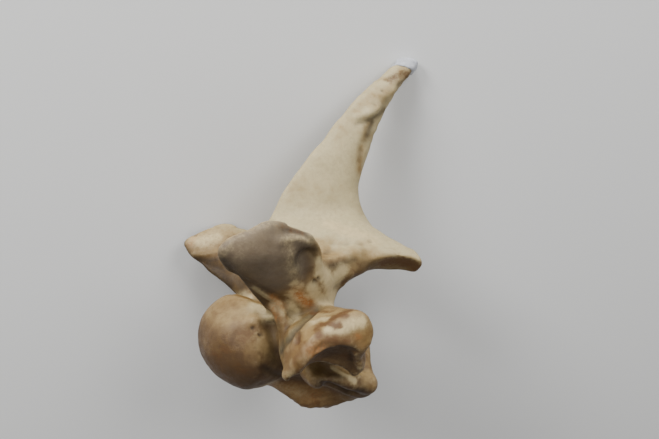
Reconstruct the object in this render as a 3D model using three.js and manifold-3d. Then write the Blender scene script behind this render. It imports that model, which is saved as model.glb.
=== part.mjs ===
// First thoracic vertebra of a horse, lying on its right side.
//
// The bone is described in its own axes, in millimetres: x runs towards the tail, y to the
// animal's right and z towards the back, with the origin on the floor of the canal, halfway
// along the centrum. It is the same on both sides of the plane y = 0. Rounded forms are
// blended into one surface, the surface is meshed, laid down as the bone rests, trimmed flat
// where it touches the ground and parted into its named regions by thin cuts.

import * as THREE from 'three';
import Module from 'manifold-3d';
import { mergeVertices } from 'three/addons/utils/BufferGeometryUtils.js';

// ---- driving dimensions, mm and degrees ----

const MESH_STEP = 3.8;            // spacing of the sampling lattice
const SETTLE_SHARE = 0.15;        // largest move onto the surface, as a share of the spacing
const RELAX_ROUNDS = 6;            // smoothing rounds, each with a pass that gives the size back
const RELAX_SHARES = [0.5, -0.53];
const CUT = 0.3;                  // gap left between two neighbouring regions
const LATTICE_LOW = [-48, -57, -51];
const LATTICE_COUNT = [30, 31, 45];

// Direction, in the bone's axes, that points up when the bone lies on its right side.
const UP_WHEN_LYING = new THREE.Vector3(-0.2154, -0.9238, -0.3166).normalize();
const FLAT_DEPTH = 0.5;           // how far the resting points are worn flat

// Cranial ball of the centrum.
const HEAD = { centre: [-23.3, 0, -12.8], radii: [17.5, 23.5, 19.8], tilt: 30 };

// Lofted forms, sections square to one axis. Each row gives the place along the axis, the
// section's centre in the other two axes and its two half sizes.
const BODY = [                    // along x; centre y, z; half width, half height
  [-20, 0, -13, 19, 14.5],
  [-8, 0, -14.5, 17, 13.5],
  [4, 0, -17, 19.5, 15],
  [15, 0, -20, 22.5, 17],
  [22.5, 0, -21.5, 25, 18],
];
const VENTRAL_CREST = [           // along x; centre y, z; half width, half height
  [-14, 0, -24, 5, 6.3],
  [-6, 0, -27.5, 5, 9.8],
  [4, 0, -33, 5.5, 10.8],
  [15, 0, -34.2, 7, 11],
  [24.5, 0, -31, 13, 9.5],
];
const SPINE = [                   // height z; front edge x, rear edge x; half thickness
  [26, -13, 38, 8],
  [33, -11.8, 36, 7],
  [38, -10.6, 32.5, 6.4],
  [43, -8.6, 30, 6],
  [50, -4.8, 29.3, 5.4],
  [56, -0.6, 30.2, 5.2],
  [67, 8, 33.6, 5.2],
  [78, 17.2, 38, 5.4],
  [87, 24.8, 42.5, 5.4],
  [94.5, 32, 47, 5.2],
  [100, 37.6, 51.5, 4.8],
  [104, 42.3, 55.5, 4.2],
  [107, 46.3, 58.2, 3.8],
  [109, 49, 58.8, 3.4],
];
const CRANIAL_PROCESS = [         // height z; cranial edge x, caudal edge x; centre y, half y
  [1, -17, 4, 21.5, 5],
  [7, -23.4, 3, 25, 6],
  [12.5, -30, 0, 30, 6.4],
  [16.5, -35.2, -2.5, 33.5, 6.6],
  [20, -39, -3, 36.5, 6.4],
  [24.5, -42.2, -2.5, 39.5, 6],
  [28, -42.4, -3.4, 41, 5.2],
  [31, -38.8, -7.5, 42, 4.4],
  [33.8, -33.5, -12.5, 42.6, 3.4],
  [35.2, -29, -17.5, 42.8, 2.6],
];
const CAUDAL_PROCESS = [          // along x; centre y, z; half width, half thickness
  [6, 9, 28, 11, 5],
  [18, 12.5, 27.5, 13, 5],
  [29, 17.5, 24.2, 12.5, 5.2],
  [38, 21.2, 21.2, 11, 5.1],
  [43.6, 23.4, 19, 8.8, 4.6],
];
const TRANSVERSE_PROCESS = [      // outwards y; centre x, z; half length, half height
  [16, -4, -6, 11, 8],
  [26, -3.5, -6, 11.5, 7.5],
  [36, -2.5, -6.5, 14, 8.5],
  [43, -1.5, -7.6, 16, 9.3],
  [47.5, -1, -7.4, 15.5, 8.8],
];

// Limbs, with sections square to their own course. Each row gives the centre x, y, z, the
// half size along the limb's side direction and the half size across it.
const PEDICLE = [
  [-2, 18, -10, 11, 6],
  [-5, 20, 0, 10.5, 5],
  [-6, 22.5, 8, 12, 5.2],
];
const LAMINA = [
  [-6, 22.5, 8, 12, 5.2],
  [0, 19, 17, 14, 4.4],
  [8, 11, 27, 20, 5],
  [12, 0, 31.5, 21.5, 5.5],
];
const CRANIAL_HOOK = [
  [-10.5, 38.5, 28, 4.6, 3.8],
  [-5.4, 37, 24.4, 2.4, 2.2],
];
const HOOK_ROOT = [
  [-5, 34, 22, 3, 5],
  [-1, 28, 15, 4, 5],
];
const TRANSVERSE_LOWER = [
  [3, 32, -13, 8, 7],
  [3.5, 41, -14.5, 9.5, 9],
];
const TRANSVERSE_SPUR = [
  [-9, 37.5, -7.5, 7, 6],
  [-16.4, 40, -18, 1.8, 1.8],
];
const SPUR_EDGE = [
  [-16.4, 40.5, -18, 1.7, 1.7],
  [-14.6, 44.5, -14.8, 2.4, 2.2],
  [-12.6, 47, -11, 3, 2.6],
];
const LATERAL_LEDGE = [
  [-2, 27, 16, 5.5, 4.4],
  [8, 24.5, 18, 5.5, 3.8],
  [17, 22.5, 20.6, 5, 3.8],
];
const FRONT_RIDGE = [
  [-17.5, 28, 5, 2.2, 2.2],
  [-15, 28.5, -1, 2.2, 2.2],
  [-14, 29, -7, 2.2, 2.2],
  [-14.8, 30.5, -12, 2.2, 2.2],
  [-14.5, 35, -16, 2.2, 2],
];
const RIB_KNOB = { centre: [-0.5, 26, -24.6], radii: [3.4, 5, 3.6] };
const BODY_RIDGE = [
  [-1, 21, -22, 5, 4],
  [12, 22, -26.5, 5, 4],
  [20, 21, -30.5, 5, 4.5],
];
const LOWER_BAR = [
  [2, 28, -21.8, 2.6, 3.2],
  [8, 29, -24.5, 2.8, 3.4],
  [13, 28.8, -26.8, 3, 3.6],
  [21, 27, -28.8, 4, 4],
];

// Hollows.
const CANAL = [
  [-24, 0, 17, 12, 10],
  [-12, 0, 11.5, 13, 11.5],
  [5, 0, 10.5, 13.5, 12],
  [60, 0, 10.5, 15, 13],
];
const COTYLE = { centre: [37, 0, -21.5], radii: [22, 21, 15.5] };
const FACET = { centre: [-25, 36, 28.5], normal: [-0.3, -0.55, 0.79], radius: 44, depth: -1 };
const RIB_FACET = {
  centre: [-1.5, 45.5, -12.6], normal: [0, 0.62, -0.78], rise: 15, radii: [16.5, 17, 17.5] };
const CAUDAL_FACET = {
  centre: [28, 25.5, 21], normal: [0.05, 0.6, -0.8], rise: 14, radii: [24, 30, 14] };
const FACET_RECESS = [
  [-13, 44, -20.5, 4, 5],
  [-9, 40, -18.8, 4.5, 7],
  [-4.4, 37.5, -19, 4.5, 8],
  [1.6, 36.5, -20.4, 4, 7.5],
  [5.2, 36.5, -22, 3.5, 7],
  [9, 37, -24.8, 3, 6.5],
];
const SIDE_GROOVE = [
  [-14, 31, -21, 4, 4],
  [4, 31, -18.5, 5, 4],
  [24, 33, -19, 6, 6],
];

// Widths over which one form runs into the next, and over which a hollow's rim is rounded.
const BLEND = {
  head: 6,
  crest: 6,
  pedicle: 5,
  lamina: 3,
  spine: 7,
  cranialHook: 3,
  hookRoot: 4,
  cranialProcess: 6,
  caudalProcess: 7,
  transverseParts: 5,
  spurEdge: 2,
  transverseProcess: 4,
  ribSide: 4,
  ribSideToBody: 7,
  lowerBar: 3,
  frontRidge: 2.5,
  lateralLedge: 3,
  hollow: 3,
  facetRim: 1.2,
};

const BONE_ROUGHNESS = 0.62;
const COLOURS = {
  centrum: 0xa98f69,
  neural_arch: 0xb5a077,
  spinous_process: 0xc8bea5,
  spinous_tip_cap: 0xd9dbda,
  articular: 0x8f7f68,
  transverse: 0xb09a76,
};

// ---- rounded forms as signed distances, negative inside ----

const vec = (a) => new THREE.Vector3(a[0], a[1], a[2]);

function softMin(a, b, k) {
  const h = Math.max(k - Math.abs(a - b), 0) / k;
  return Math.min(a, b) - h * h * k * 0.25;
}

const softMax = (a, b, k) => -softMin(-a, -b, k);

// Near distance to a rounded block of half sizes a, b, c; n = 2 is an ellipsoid.
function blockDistance(x, y, z, a, b, c, n) {
  const u = Math.abs(x) / a;
  const v = Math.abs(y) / b;
  const w = Math.abs(z) / c;
  const k = Math.pow(u ** n + v ** n + w ** n, 1 / n) + 1e-9;
  const gradient = Math.hypot((u / k) ** (n - 1) / a, (v / k) ** (n - 1) / b, (w / k) ** (n - 1) / c);
  return (k - 1) / gradient;
}

// Rows taken along a Catmull-Rom curve through the table's rows.
function smoothRows(table, steps) {
  const places = new THREE.CatmullRomCurve3(table.map((r) => vec(r)), false, 'catmullrom', 0.5);
  const sizes = table.map((r) => new THREE.Vector3(r[3], r[4], 0));
  const sizeCurve = new THREE.CatmullRomCurve3(sizes, false, 'catmullrom', 0.5);
  const count = (table.length - 1) * steps;
  const rows = [];
  for (let i = 0; i <= count; i++) {
    rows.push({ place: places.getPoint(i / count), size: sizeCurve.getPoint(i / count) });
  }
  return rows;
}

// A form whose sections stay square to its own course.
function limb(table, side, { n = 2, cap = 0, steps = 3, blend = 0 } = {}) {
  const rows = smoothRows(table, steps);
  const spans = rows.slice(1).map((to, i) => {
    const from = rows[i];
    const course = to.place.clone().sub(from.place);
    const T = course.clone().normalize();
    const U = vec(side).normalize();
    U.addScaledVector(T, -U.dot(T)).normalize();
    return { from, to, course, length2: course.lengthSq(), T, U, V: T.clone().cross(U) };
  });
  const d = new THREE.Vector3();
  return (p) => {
    let best = Infinity;
    for (const s of spans) {
      const along = d.copy(p).sub(s.from.place).dot(s.course) / s.length2;
      const t = Math.min(Math.max(along, 0), 1);
      const a = THREE.MathUtils.lerp(s.from.size.x, s.to.size.x, t);
      const b = THREE.MathUtils.lerp(s.from.size.y, s.to.size.y, t);
      d.addScaledVector(s.course, -t);
      const end = cap || Math.min(a, b);
      const span = blockDistance(d.dot(s.U), d.dot(s.V), d.dot(s.T), a, b, end, n);
      best = blend && best < Infinity ? softMin(best, span, blend) : Math.min(best, span);
    }
    return best;
  };
}

// A form whose sections stay square to the given axis; turn rolls the sections, and taper
// thickens them towards the positive end of their first half size.
function loft(table, axis, { n = 2, cap = 4, taper = 0, steps = 6, slope = 0.85, turn = 0 } = {}) {
  const rows = smoothRows(table, steps);
  const [first, second] = ['x', 'y', 'z'].filter((name) => name !== axis);
  const cos = Math.cos(THREE.MathUtils.degToRad(turn));
  const sin = Math.sin(THREE.MathUtils.degToRad(turn));
  const low = rows[0].place.x;
  const high = rows[rows.length - 1].place.x;
  return (p) => {
    const s = p[axis];
    const at = Math.min(Math.max(s, low), high);
    let i = 0;
    while (i < rows.length - 2 && rows[i + 1].place.x < at) i++;
    const { place: p0, size: s0 } = rows[i];
    const { place: p1, size: s1 } = rows[i + 1];
    const t = (at - p0.x) / (p1.x - p0.x);
    const e1 = p[first] - THREE.MathUtils.lerp(p0.y, p1.y, t);
    const e2 = p[second] - THREE.MathUtils.lerp(p0.z, p1.z, t);
    const d1 = cos * e1 + sin * e2;
    const d2 = cos * e2 - sin * e1;
    const a = THREE.MathUtils.lerp(s0.x, s1.x, t);
    const b = THREE.MathUtils.lerp(s0.y, s1.y, t) * (1 + taper * THREE.MathUtils.clamp(d1 / a, -1, 1));
    return slope * blockDistance(d1, d2, s - at, a, b, cap, n);
  };
}

// An ellipsoid, turned about y by tilt degrees so that its x end rises.
function ball({ centre, radii, tilt = 0 }) {
  const cos = Math.cos(THREE.MathUtils.degToRad(tilt));
  const sin = Math.sin(THREE.MathUtils.degToRad(tilt));
  return (p) => {
    const x = p.x - centre[0];
    const z = p.z - centre[2];
    return blockDistance(cos * x + sin * z, p.y - centre[1], cos * z - sin * x, ...radii, 2);
  };
}

// Rows of edge places turned into rows of centre and half size.
const fromEdges = (rows, centreY) => rows.map(([z, front, rear, ...rest]) => {
  const [y, half] = centreY ? rest : [0, rest[0]];
  return [z, (front + rear) / 2, y, (rear - front) / 2, half];
});

// ---- the bone ----

const head = ball(HEAD);
const body = loft(BODY, 'x', { n: 2.4 });
const crest = loft(VENTRAL_CREST, 'x', { cap: 5 });
const pedicle = limb(PEDICLE, [1, 0, 0], { n: 2.6 });
const lamina = limb(LAMINA, [1, 0, 0], { n: 2.4, steps: 7, blend: 1 });
const spine = loft(fromEdges(SPINE, false), 'z', { cap: 2.2, taper: 0.3, steps: 3 });
const cranialPlate = loft(
  fromEdges(CRANIAL_PROCESS, true), 'z', { cap: 1.4, turn: -10, n: 2.1, steps: 3, slope: 0.7 });
const cranialHook = limb(CRANIAL_HOOK, [1, 0, 0]);
const hookRoot = limb(HOOK_ROOT, [1, 0, 0]);
const caudalPlate = loft(CAUDAL_PROCESS, 'x', { n: 2.3, cap: 3, turn: -33, slope: 0.9 });
const transverseUpper = loft(TRANSVERSE_PROCESS, 'y', { n: 2.5, turn: 30 });
const transverseLower = limb(TRANSVERSE_LOWER, [0.86, 0, 0.5], { n: 2.6, cap: 4 });
const transverseSpur = limb(TRANSVERSE_SPUR, [1, 0, 0]);
const spurEdge = limb(SPUR_EDGE, [1, 0, 0]);
const facetRecess = limb(FACET_RECESS, [0, 0, 1]);
const ribKnob = ball(RIB_KNOB);
const bodyRidge = limb(BODY_RIDGE, [0, 0, 1]);
const lowerBar = limb(LOWER_BAR, [0, 0, 1]);
const frontRidge = limb(FRONT_RIDGE, [1, 0, 0]);
const lateralLedge = limb(LATERAL_LEDGE, [0, 0, 1], { n: 3 });
const canal = limb(CANAL, [0, 1, 0], { n: 2.3, cap: 8 });
const cotyle = ball(COTYLE);
const sideGroove = limb(SIDE_GROOVE, [0, 1, 0]);

const facetNormal = vec(FACET.normal).normalize();
const facetCentre = vec(FACET.centre).addScaledVector(facetNormal, FACET.radius - FACET.depth);

// An ellipsoid whose centre stands off from a joint surface.
function facetHollow({ centre, normal, rise, radii }) {
  const N = vec(normal).normalize();
  const X = new THREE.Vector3(1, 0, 0);
  const across = N.clone().cross(X).normalize();
  const middle = vec(centre).addScaledVector(N, rise);
  const d = new THREE.Vector3();
  return (p) => {
    d.copy(p).sub(middle);
    return blockDistance(d.dot(X), d.dot(across), d.dot(N), ...radii, 2);
  };
}

const ribFacet = facetHollow(RIB_FACET);
const caudalFacet = facetHollow(CAUDAL_FACET);

function cranialProcess(p) {
  const plate = softMin(cranialPlate(p), cranialHook(p), BLEND.cranialHook);
  const block = softMin(plate, hookRoot(p), BLEND.hookRoot);
  return softMax(block, FACET.radius - p.distanceTo(facetCentre), BLEND.facetRim);
}

function transverseProcess(p) {
  const pair = softMin(transverseUpper(p), transverseLower(p), BLEND.transverseParts);
  const spurred = softMin(pair, transverseSpur(p), BLEND.transverseParts);
  const block = softMin(spurred, spurEdge(p), BLEND.spurEdge);
  return softMax(softMax(block, -ribFacet(p), BLEND.facetRim), -facetRecess(p), BLEND.facetRim);
}

function boneDistance(point) {
  const p = new THREE.Vector3(point.x, Math.abs(point.y), point.z);
  let d = softMin(softMin(head(p), body(p), BLEND.head), crest(p), BLEND.crest);
  d = softMin(d, softMin(pedicle(p), lamina(p), BLEND.lamina), BLEND.pedicle);
  d = softMin(d, spine(p), BLEND.spine);
  d = softMin(d, cranialProcess(p), BLEND.cranialProcess);
  const caudalProcess = softMax(caudalPlate(p), -caudalFacet(p), BLEND.facetRim);
  d = softMin(d, caudalProcess, BLEND.caudalProcess);
  d = softMin(d, transverseProcess(p), BLEND.transverseProcess);
  d = softMin(d, frontRidge(p), BLEND.frontRidge);
  d = softMin(d, lateralLedge(p), BLEND.lateralLedge);
  const ribSide = softMin(ribKnob(p), bodyRidge(p), BLEND.ribSide);
  d = softMin(d, ribSide, BLEND.ribSideToBody);
  d = softMin(d, lowerBar(p), BLEND.lowerBar);
  for (const hollow of [canal, cotyle, sideGroove]) d = softMax(d, -hollow(p), BLEND.hollow);
  return d;
}

// ---- meshing: one vertex in every lattice cell that the surface crosses ----

const [NX, NY, NZ] = LATTICE_COUNT;
const nodeIndex = (i, j, k) => (i * NY + j) * NZ + k;
const nodePlace = (i, j, k) => new THREE.Vector3(i, j, k).multiplyScalar(MESH_STEP).add(vec(LATTICE_LOW));

function sampleLattice() {
  const values = new Float64Array(NX * NY * NZ);
  for (let i = 0; i < NX; i++) {
    for (let j = 0; j < NY; j++) {
      for (let k = 0; k < NZ; k++) values[nodeIndex(i, j, k)] = boneDistance(nodePlace(i, j, k));
    }
  }
  return values;
}

// A lattice face with inside and outside corners across both diagonals would join four
// surface sheets in one edge, so its corner nearest the surface changes sides.
function settleDiagonals(values) {
  const strides = [NY * NZ, NZ, 1];
  let changed = true;
  while (changed) {
    changed = false;
    for (let i = 0; i < NX - 1; i++) {
      for (let j = 0; j < NY - 1; j++) {
        for (let k = 0; k < NZ - 1; k++) {
          const at = nodeIndex(i, j, k);
          for (const [a, b] of [[0, 1], [1, 2], [0, 2]]) {
            const c = [at, at + strides[a], at + strides[a] + strides[b], at + strides[b]];
            const inside = c.map((n) => values[n] < 0);
            if (inside[0] !== inside[2] || inside[1] !== inside[3] || inside[0] === inside[1]) continue;
            const weakest = c.reduce((m, n) => (Math.abs(values[n]) < Math.abs(values[m]) ? n : m));
            values[weakest] = values[weakest] < 0 ? 1e-3 : -1e-3;
            changed = true;
          }
        }
      }
    }
  }
}

function gradientAt(p) {
  const step = 0.2;
  const g = new THREE.Vector3();
  for (const axis of ['x', 'y', 'z']) {
    const ahead = p.clone();
    const behind = p.clone();
    ahead[axis] += step;
    behind[axis] -= step;
    g[axis] = (boneDistance(ahead) - boneDistance(behind)) / (2 * step);
  }
  return g;
}

// Moves a point towards the surface, by a small part of a cell so that thin rims stay even.
function settleOnSurface(p) {
  const g = gradientAt(p);
  const reach = SETTLE_SHARE * MESH_STEP;
  const move = THREE.MathUtils.clamp(boneDistance(p) / Math.max(g.lengthSq(), 1e-6), -reach, reach);
  return p.addScaledVector(g, -move);
}

// Moves every point by a share of the way to the middle of its neighbours.
function relax(points, triangles, share) {
  const sums = points.map(() => new THREE.Vector3());
  const counts = points.map(() => 0);
  for (let t = 0; t < triangles.length; t += 3) {
    for (let corner = 0; corner < 3; corner++) {
      const from = triangles[t + corner];
      const to = triangles[t + (corner + 1) % 3];
      sums[from].add(points[to]);
      counts[from]++;
    }
  }
  points.forEach((point, i) => point.lerp(sums[i].divideScalar(counts[i]), share));
}

function surfaceGeometry() {
  const values = sampleLattice();
  settleDiagonals(values);
  const corners = [];
  for (let c = 0; c < 8; c++) corners.push([c >> 2, (c >> 1) & 1, c & 1]);
  const cellVertex = new Map();
  const points = [];
  for (let i = 0; i < NX - 1; i++) {
    for (let j = 0; j < NY - 1; j++) {
      for (let k = 0; k < NZ - 1; k++) {
        const sum = new THREE.Vector3();
        let crossings = 0;
        for (const from of corners) {
          for (let axis = 0; axis < 3; axis++) {
            if (from[axis]) continue;
            const to = from.slice();
            to[axis] = 1;
            const va = values[nodeIndex(i + from[0], j + from[1], k + from[2])];
            const vb = values[nodeIndex(i + to[0], j + to[1], k + to[2])];
            if (va < 0 === vb < 0) continue;
            sum.add(vec(from).lerp(vec(to), va / (va - vb)));
            crossings++;
          }
        }
        if (!crossings) continue;
        sum.divideScalar(crossings);
        cellVertex.set(nodeIndex(i, j, k), points.length);
        const place = nodePlace(i + sum.x, j + sum.y, k + sum.z);
        points.push(settleOnSurface(place));
      }
    }
  }
  const triangles = [];
  for (let i = 1; i < NX - 1; i++) {
    for (let j = 1; j < NY - 1; j++) {
      for (let k = 1; k < NZ - 1; k++) {
        const inside = values[nodeIndex(i, j, k)] < 0;
        for (let axis = 0; axis < 3; axis++) {
          const next = [i, j, k];
          next[axis]++;
          if (values[nodeIndex(...next)] < 0 === inside) continue;
          const u = [0, 0, 0];
          const v = [0, 0, 0];
          u[(axis + 1) % 3] = 1;
          v[(axis + 2) % 3] = 1;
          const cell = (a, b) => cellVertex.get(
            nodeIndex(i - a * u[0] - b * v[0], j - a * u[1] - b * v[1], k - a * u[2] - b * v[2]));
          const quad = [cell(0, 0), cell(1, 0), cell(1, 1), cell(0, 1)];
          if (!inside) quad.reverse();
          const [a, b, c, d] = quad;
          const ac = points[a].distanceTo(points[c]);
          const bd = points[b].distanceTo(points[d]);
          if (ac < bd) triangles.push(a, b, c, a, c, d);
          else triangles.push(b, c, d, b, d, a);
        }
      }
    }
  }
  for (let round = 0; round < RELAX_ROUNDS; round++) {
    for (const share of RELAX_SHARES) relax(points, triangles, share);
  }
  const geometry = new THREE.BufferGeometry().setFromPoints(points);
  geometry.setIndex(triangles);
  return geometry;
}

// ---- laying the bone down: row axes are x to the tail, y to the back and z up ----

function lyingMatrix() {
  const up = UP_WHEN_LYING;
  const tailward = new THREE.Vector3(1, 0, 0);
  tailward.addScaledVector(up, -up.x).normalize();
  const backward = up.clone().cross(tailward);
  return new THREE.Matrix4().makeBasis(tailward, backward, up).transpose();
}

// ---- cutting ----

const wasm = await Module();
wasm.setup();

function solidOf(geometry) {
  const vertProperties = new Float32Array(geometry.attributes.position.array);
  const triVerts = new Uint32Array(geometry.index.array);
  return new wasm.Manifold(new wasm.Mesh({ numProp: 3, vertProperties, triVerts }));
}

function geometryOf(solid) {
  const mesh = solid.getMesh();
  const geometry = new THREE.BufferGeometry();
  geometry.setAttribute('position', new THREE.BufferAttribute(new Float32Array(mesh.vertProperties), 3));
  geometry.setIndex(Array.from(mesh.triVerts));
  return geometry;
}

// A box whose inner face is centred on a point; it reaches `depth` along the normal.
function boxSolid({ face, normal, height, width, depth }, margin, frame) {
  const N = vec(normal).normalize();
  const hint = Math.abs(N.z) > 0.9 ? new THREE.Vector3(1, 0, 0) : new THREE.Vector3(0, 0, 1);
  const H = hint.addScaledVector(N, -hint.dot(N)).normalize();
  const W = N.clone().cross(H);
  const size = [depth, height, width].map((length) => length + 2 * margin);
  const box = new THREE.BoxGeometry(...size);
  box.deleteAttribute('normal');
  box.deleteAttribute('uv');
  const geometry = mergeVertices(box);
  const centre = vec(face).addScaledVector(N, depth / 2);
  geometry.applyMatrix4(new THREE.Matrix4().makeBasis(N, H, W).setPosition(centre));
  geometry.applyMatrix4(frame);
  return solidOf(geometry);
}

const mirrored = ([x, y, z]) => [x, -y, z];

// Regions are taken off one after the other; what is left at the end is the neural arch.
const REGIONS = [
  {
    name: 'spinous_tip_cap', colour: 'spinous_tip_cap',
    box: { face: [52, 0, 106.3], normal: [0, 0, 1], height: 40, width: 40, depth: 20 },
  },
  {
    name: 'spinous_process', colour: 'spinous_process',
    box: { face: [20, 0, 38.8], normal: [0, 0, 1], height: 120, width: 40, depth: 90 },
  },
  {
    name: 'transverse_process', colour: 'transverse', paired: true,
    box: { face: [-2.5, 31.6, -1], normal: [0, 0.85, -0.53], height: 31, width: 35.6, depth: 40 },
  },
  {
    name: 'cranial_articular_process', colour: 'articular', paired: true,
    box: { face: [-14, 29, 14], normal: [-0.5, 0.6, 0.62], height: 80, width: 80, depth: 50 },
  },
  {
    name: 'caudal_articular_process', colour: 'articular', paired: true,
    box: { face: [24, 16, 25], normal: [0.75, 0.62, -0.2], height: 32, width: 50, depth: 40 },
  },
  {
    name: 'centrum', colour: 'centrum',
    box: { face: [0, 0, -1.5], normal: [0, 0, -1], height: 200, width: 200, depth: 60 },
  },
];

// ---- assembly ----

const laid = surfaceGeometry().applyMatrix4(lyingMatrix());
laid.computeBoundingBox();
const { min, max } = laid.boundingBox;
const groundLevel = min.z + FLAT_DEPTH;
const toFloor = new THREE.Matrix4().makeTranslation(
  -(min.x + max.x) / 2, -(min.y + max.y) / 2, -groundLevel);
laid.applyMatrix4(toFloor);
const boneFrame = toFloor.clone().multiply(lyingMatrix());

const group = new THREE.Group();

function addRegion(name, colour, solid) {
  const material = new THREE.MeshStandardMaterial({
    color: COLOURS[colour], roughness: BONE_ROUGHNESS, metalness: 0 });
  const mesh = new THREE.Mesh(geometryOf(solid), material);
  mesh.name = name;
  group.add(mesh);
}

// Wider and deeper than the whole bone.
const BELOW_GROUND = { face: [0, 0, 0], normal: [0, 0, -1], height: 400, width: 400, depth: 50 };
let rest = solidOf(laid).subtract(boxSolid(BELOW_GROUND, 0, new THREE.Matrix4()));

for (const { name, colour, paired, box } of REGIONS) {
  const sides = paired ? [['_right', box], ['_left', {
    ...box, face: mirrored(box.face), normal: mirrored(box.normal) }]] : [['', box]];
  for (const [suffix, placed] of sides) {
    addRegion(name + suffix, colour, rest.intersect(boxSolid(placed, 0, boneFrame)));
    rest = rest.subtract(boxSolid(placed, CUT, boneFrame));
  }
}
addRegion('neural_arch', 'neural_arch', rest);

export default group;
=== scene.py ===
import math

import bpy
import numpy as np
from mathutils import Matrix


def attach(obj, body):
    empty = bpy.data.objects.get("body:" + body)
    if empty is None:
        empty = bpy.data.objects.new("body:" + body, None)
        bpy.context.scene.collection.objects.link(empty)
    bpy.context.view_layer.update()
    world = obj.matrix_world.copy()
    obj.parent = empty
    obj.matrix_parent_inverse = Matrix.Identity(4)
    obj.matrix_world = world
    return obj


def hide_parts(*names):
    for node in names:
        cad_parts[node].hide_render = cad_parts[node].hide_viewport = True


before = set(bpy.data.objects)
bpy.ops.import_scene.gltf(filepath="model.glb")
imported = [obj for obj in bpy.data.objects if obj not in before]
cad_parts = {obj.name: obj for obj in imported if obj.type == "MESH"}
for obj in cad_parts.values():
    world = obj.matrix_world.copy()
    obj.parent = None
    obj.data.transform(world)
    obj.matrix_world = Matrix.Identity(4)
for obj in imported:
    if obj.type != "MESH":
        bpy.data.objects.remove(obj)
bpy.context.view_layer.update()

# First thoracic vertebra of a horse, dry bone, lying on its right side.
#
# The bone is described in its own axes, in millimetres, as in the part's source: x runs
# towards the tail, y to the animal's right and z towards the back, with the origin on the
# floor of the canal. The same rounded forms, meshed finely, become one skin over the
# solids; small forms, roughness, stains, painted shade and painted light are then worked into that
# skin.

MM = 0.001
ALONG_X, ALONG_Y, ALONG_Z = (1, 0, 0), (0, 1, 0), (0, 0, 1)
TINY = 1e-9                      # keeps divisions and signs away from zero

# ---- how the bone lies: row axes are x to the tail, y to the back and z up ----

UP_WHEN_LYING = (-0.2154, -0.9238, -0.3166)
BONE_ORIGIN = np.array((0.76, -30.73, 48.16))   # of the own axes of the bone, mm in the row frame

MESH_STEP = 0.9
LATTICE_LOW = np.array((-50.0, -58.0, -52.0))
LATTICE_HIGH = np.array((66.0, 58.0, 116.0))
COARSE_LEVELS = 3
NEAR_SURFACE = 1.9               # cells on either side that get exact distances
SETTLE_STEPS = 3
SETTLE_REACH = 0.7               # cells that a vertex may move in one step
JUST_OFF = 1e-3                  # mm, the distance given to a lattice place that changes sides

# ---- main forms, the same values as in the solids ----

HEAD_CENTRE = (-23.3, 0, -12.8)
HEAD_RADII = (17.5, 23.5, 19.8)
HEAD_TILT = 30

# Lofted forms: place along the axis, section centre and half sizes in the other two axes.
BODY = [
    (-20, 0, -13, 19, 14.5),
    (-8, 0, -14.5, 17, 13.5),
    (4, 0, -17, 19.5, 15),
    (15, 0, -20, 22.5, 17),
    (22.5, 0, -21.5, 25, 18),
]
VENTRAL_CREST = [
    (-14, 0, -24, 5, 6.3),
    (-6, 0, -27.5, 5, 9.8),
    (4, 0, -33, 5.5, 10.8),
    (15, 0, -34.2, 7, 11),
    (24.5, 0, -31, 13, 9.5),
]
SPINE = [                        # height z, front edge x, rear edge x, half thickness
    (26, -13, 38, 8),
    (33, -11.8, 36, 7),
    (38, -10.6, 32.5, 6.4),
    (43, -8.6, 30, 6),
    (50, -4.8, 29.3, 5.4),
    (56, -0.6, 30.2, 5.2),
    (67, 8, 33.6, 5.2),
    (78, 17.2, 38, 5.4),
    (87, 24.8, 42.5, 5.4),
    (94.5, 32, 47, 5.2),
    (100, 37.6, 51.5, 4.8),
    (104, 42.3, 55.5, 4.2),
    (107, 46.3, 58.2, 3.8),
    (109, 49, 58.8, 3.4),
]
CRANIAL_PROCESS = [              # height z, cranial x, caudal x, centre y, half y
    (1, -17, 4, 21.5, 5),
    (7, -23.4, 3, 25, 6),
    (12.5, -30, 0, 30, 6.4),
    (16.5, -35.2, -2.5, 33.5, 6.6),
    (20, -39, -3, 36.5, 6.4),
    (24.5, -42.2, -2.5, 39.5, 6),
    (28, -42.4, -3.4, 41, 5.2),
    (31, -38.8, -7.5, 42, 4.4),
    (33.8, -33.5, -12.5, 42.6, 3.4),
    (35.2, -29, -17.5, 42.8, 2.6),
]
CAUDAL_PROCESS = [
    (6, 9, 28, 11, 5),
    (18, 12.5, 27.5, 13, 5),
    (29, 17.5, 24.2, 12.5, 5.2),
    (38, 21.2, 21.2, 11, 5.1),
    (43.6, 23.4, 19, 8.8, 4.6),
]
TRANSVERSE_PROCESS = [
    (16, -4, -6, 11, 8),
    (26, -3.5, -6, 11.5, 7.5),
    (36, -2.5, -6.5, 14, 8.5),
    (43, -1.5, -7.6, 16, 9.3),
    (47.5, -1, -7.4, 15.5, 8.8),
]

# Limbs: centre x, y, z, half size along the side direction and half size across it.
PEDICLE = [(-2, 18, -10, 11, 6), (-5, 20, 0, 10.5, 5), (-6, 22.5, 8, 12, 5.2)]
LAMINA = [(-6, 22.5, 8, 12, 5.2), (0, 19, 17, 14, 4.4), (8, 11, 27, 20, 5), (12, 0, 31.5, 21.5, 5.5)]
CRANIAL_HOOK = [(-10.5, 38.5, 28, 4.6, 3.8), (-5.4, 37, 24.4, 2.4, 2.2)]
HOOK_ROOT = [(-5, 34, 22, 3, 5), (-1, 28, 15, 4, 5)]
FAR_PROCESS_SHIFT = (1.7, 0, -1.9)   # how the right cranial process differs from the left
TRANSVERSE_LOWER = [(3, 32, -13, 8, 7), (3.5, 41, -14.5, 9.5, 9)]
TRANSVERSE_LOWER_SIDE = (0.86, 0, 0.5)
TRANSVERSE_SPUR = [(-9, 37.5, -7.5, 7, 6), (-16.4, 40, -18, 1.8, 1.8)]
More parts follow.
